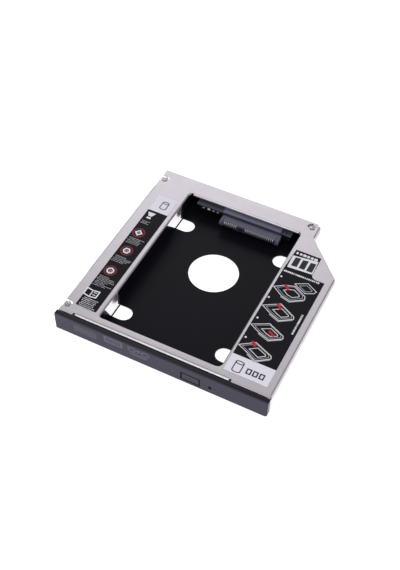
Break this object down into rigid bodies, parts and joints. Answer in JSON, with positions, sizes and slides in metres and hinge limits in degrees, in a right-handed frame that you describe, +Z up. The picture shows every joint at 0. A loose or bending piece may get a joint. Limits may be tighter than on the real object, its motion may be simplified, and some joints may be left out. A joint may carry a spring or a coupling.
{
  "type": "laptop drive caddy",
  "caption": "Flat caddy that fills a laptop's slim optical bay: folded aluminium cover, black tray with a drive well, drive connector, bay plug and a bezel with an eject button.",
  "frame": {"origin": "middle of the footprint, on the tray's underside", "axes": "+X to the right seen from the bezel, +Y from the bezel to the bay plug, +Z up through the cover"},
  "size_m": [0.1286, 0.1298, 0.0128],
  "materials": {
    "aluminium_cover": "satin rolled sheet with a fine grain",
    "tray_plastic": "black moulded plastic with a soft sheen",
    "bezel_plastic": "black fine-textured moulded plastic",
    "button_plastic": "black fine-textured moulded plastic",
    "clear_plastic": "smoked clear plastic",
    "connector_plastic": "dark grey connector plastic",
    "bar_plastic": "dark grey moulded plastic",
    "board_green": "green solder mask",
    "contact_gold": "pale gold plating",
    "screw_steel": "nickel-plated steel",
    "label_print": "printed film, black and white fields with simple pictograms",
    "led_resin": "milky resin",
    "chip_ceramic": "chip body with tinned ends"
  },
  "bodies": {
    "caddy": {"top_cover": "aluminium_cover", "base_tray": "tray_plastic", "bezel": "bezel_plastic", "light_pipe": "clear_plastic", "adapter_board": "board_green", "drive_receptacle": "connector_plastic", "clamp_bar": "bar_plastic", "bay_plug": "connector_plastic", "left_label": "label_print", "right_label": "label_print", "status_led": "led_resin", "signal_contact_1": "contact_gold", "signal_contact_2": "contact_gold", "signal_contact_3": "contact_gold", "signal_contact_4": "contact_gold", "signal_contact_5": "contact_gold", "signal_contact_6": "contact_gold", "signal_contact_7": "contact_gold", "power_contact_1": "contact_gold", "power_contact_2": "contact_gold", "power_contact_3": "contact_gold", "power_contact_4": "contact_gold", "power_contact_5": "contact_gold", "power_contact_6": "contact_gold", "power_contact_7": "contact_gold", "power_contact_8": "contact_gold", "power_contact_9": "contact_gold", "power_contact_10": "contact_gold", "power_contact_11": "contact_gold", "power_contact_12": "contact_gold", "power_contact_13": "contact_gold", "power_contact_14": "contact_gold", "power_contact_15": "contact_gold", "plug_contact_1": "contact_gold", "plug_contact_2": "contact_gold", "plug_contact_3": "contact_gold", "plug_contact_4": "contact_gold", "plug_contact_5": "contact_gold", "plug_contact_6": "contact_gold", "plug_contact_7": "contact_gold", "plug_contact_8": "contact_gold", "plug_contact_9": "contact_gold", "plug_contact_10": "contact_gold", "plug_contact_11": "contact_gold", "plug_contact_12": "contact_gold", "plug_contact_13": "contact_gold", "board_chip_1": "chip_ceramic", "board_chip_2": "chip_ceramic", "board_chip_3": "chip_ceramic", "cover_screw_1": "screw_steel", "cover_screw_2": "screw_steel", "cover_screw_3": "screw_steel", "board_screw_1": "screw_steel", "board_screw_2": "screw_steel"},
    "button": {"eject_button": "button_plastic"}
  },
  "joints": [
    {"name": "eject_press", "type": "slide", "parent": "caddy", "child": "button", "axis": [0, 1, 0], "range_m": [0, 0.0008], "stiffness_N_per_m": 500}
  ]
}
